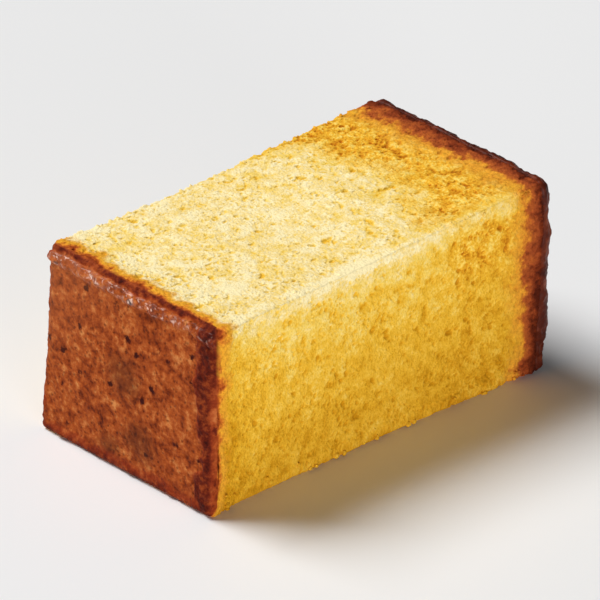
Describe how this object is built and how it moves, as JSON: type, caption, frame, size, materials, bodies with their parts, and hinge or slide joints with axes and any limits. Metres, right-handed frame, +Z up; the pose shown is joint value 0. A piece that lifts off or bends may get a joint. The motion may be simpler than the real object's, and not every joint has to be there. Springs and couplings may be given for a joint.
{
  "type": "castella sponge cake slice",
  "caption": "Block-shaped slice of castella sponge cake lying on a cut side, with fine yellow crumb, a brown peeled foot crust and a domed dark baked top.",
  "frame": {"origin": "middle of the footprint's outer box, on the surface that the slice rests on", "axes": "+Y from the peeled foot crust to the baked top crust, along the loaf's height; +Z up; +X across the slice"},
  "size_m": [0.0354, 0.0628, 0.0295],
  "materials": {
    "sponge_crumb": "matt, fine moist crumb, cut with a knife",
    "foot_crust": "brown, finely grained where baking paper was peeled off, with a darker soft-gloss rim",
    "baked_crust": "dark brown baked skin, semi-gloss, finely wrinkled and pitted"
  },
  "bodies": {
    "root": {"castella_slice": "sponge_crumb"}
  },
  "joints": []
}
